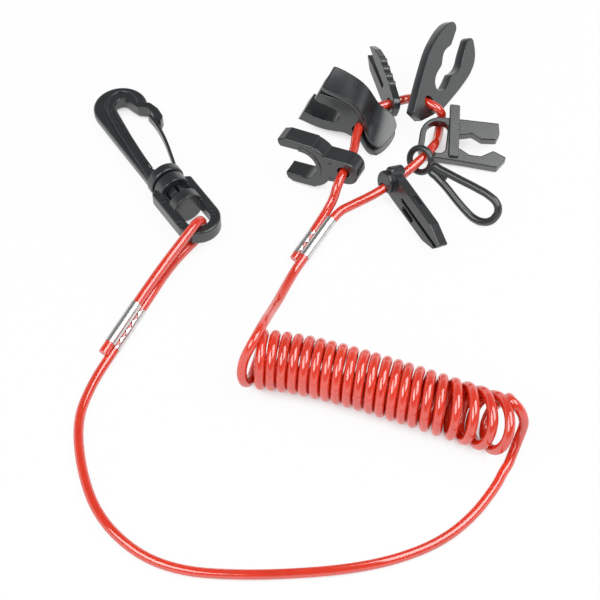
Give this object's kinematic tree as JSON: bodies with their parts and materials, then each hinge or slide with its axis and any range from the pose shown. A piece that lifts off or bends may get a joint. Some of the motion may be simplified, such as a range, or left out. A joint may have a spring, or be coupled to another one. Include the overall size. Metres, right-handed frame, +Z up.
{
  "type": "kill switch lanyard with keys",
  "caption": "Red coiled safety lanyard with a swivel snap hook at one end and a ring of black moulded kill switch keys at the other.",
  "frame": {"origin": "on the table, under the centre of the box of the hook, eye and keys", "axes": "+Z up from the table the lanyard lies on, +Y away from the viewer, +X to the right"},
  "size_m": [0.1789, 0.268, 0.0284],
  "materials": {
    "cord": "glossy translucent red",
    "ferrule": "bright nickel plate",
    "moulded": "satin charcoal moulding"
  },
  "bodies": {
    "cord": {"cord_hook_end": "cord", "coil": "cord", "cord_key_end": "cord", "hook_ferrule": "ferrule", "key_ferrule": "ferrule"},
    "eye": {"swivel_eye": "moulded"},
    "hook": {"snap_hook": "moulded"},
    "gate": {"spring_gate": "moulded"},
    "round_fork_key": {"round_fork_key": "moulded"},
    "bent_fork_key": {"bent_fork_key": "moulded"},
    "ridged_fork_key": {"ridged_fork_key": "moulded"},
    "keyhole_fork_key": {"keyhole_fork_key": "moulded"},
    "cross_clip_key": {"cross_clip_key": "moulded"},
    "teardrop_key": {"teardrop_key": "moulded"},
    "slotted_fork_key": {"slotted_fork_key": "moulded"}
  },
  "joints": [
    {"name": "eye_swing", "type": "hinge", "parent": "cord", "child": "eye", "pos_m": [-0.04152, -0.04535, 0.01054], "axis": [-0.0462, 0.0739, 0.9962], "range_deg": [-40, 30]},
    {"name": "hook_swivel", "type": "hinge", "parent": "eye", "child": "hook", "pos_m": [-0.0563, -0.0217, 0.0081], "axis": [-0.5279, 0.8448, -0.0872], "continuous": true},
    {"name": "gate_hinge", "type": "hinge", "parent": "hook", "child": "gate", "pos_m": [-0.05108, -0.01949, 0.00818], "axis": [-0.0462, 0.0739, 0.9962], "range_deg": [0, 15], "stiffness_Nm_per_rad": 0.02},
    {"name": "round_fork_turn", "type": "hinge", "parent": "cord", "child": "round_fork_key", "pos_m": [0.01883, -0.0257, 0.01715], "axis": [0.361, 0.9227, -0.1354], "range_deg": [0, 30]},
    {"name": "bent_fork_turn", "type": "hinge", "parent": "cord", "child": "bent_fork_key", "pos_m": [0.02595, 0.0035, 0.0121], "axis": [0.3278, 0.9367, -0.1229], "range_deg": [0, 12]},
    {"name": "ridged_fork_turn", "type": "hinge", "parent": "cord", "child": "ridged_fork_key", "pos_m": [0.0406, 0.01985, 0.0089], "axis": [0.9074, 0.4176, -0.0482], "range_deg": [0, 35]},
    {"name": "keyhole_fork_turn", "type": "hinge", "parent": "cord", "child": "keyhole_fork_key", "pos_m": [0.0579, 0.0188, 0.01268], "axis": [0.8612, -0.5066, 0.0422], "range_deg": [0, 12]},
    {"name": "cross_clip_turn", "type": "hinge", "parent": "cord", "child": "cross_clip_key", "pos_m": [0.0608, 0.0077, 0.0034], "axis": [0.1675, 0.9839, -0.0628], "range_deg": [-5, 0]},
    {"name": "teardrop_turn", "type": "hinge", "parent": "cord", "child": "teardrop_key", "pos_m": [0.0518, -0.013, 0.0101], "axis": [0.6985, 0.6911, 0.1858], "range_deg": [-30, 0]},
    {"name": "slotted_fork_turn", "type": "hinge", "parent": "cord", "child": "slotted_fork_key", "pos_m": [0.0389, -0.02385, 0.0072], "axis": [0.7866, 0.6004, 0.1441], "range_deg": [-35, 0]}
  ]
}
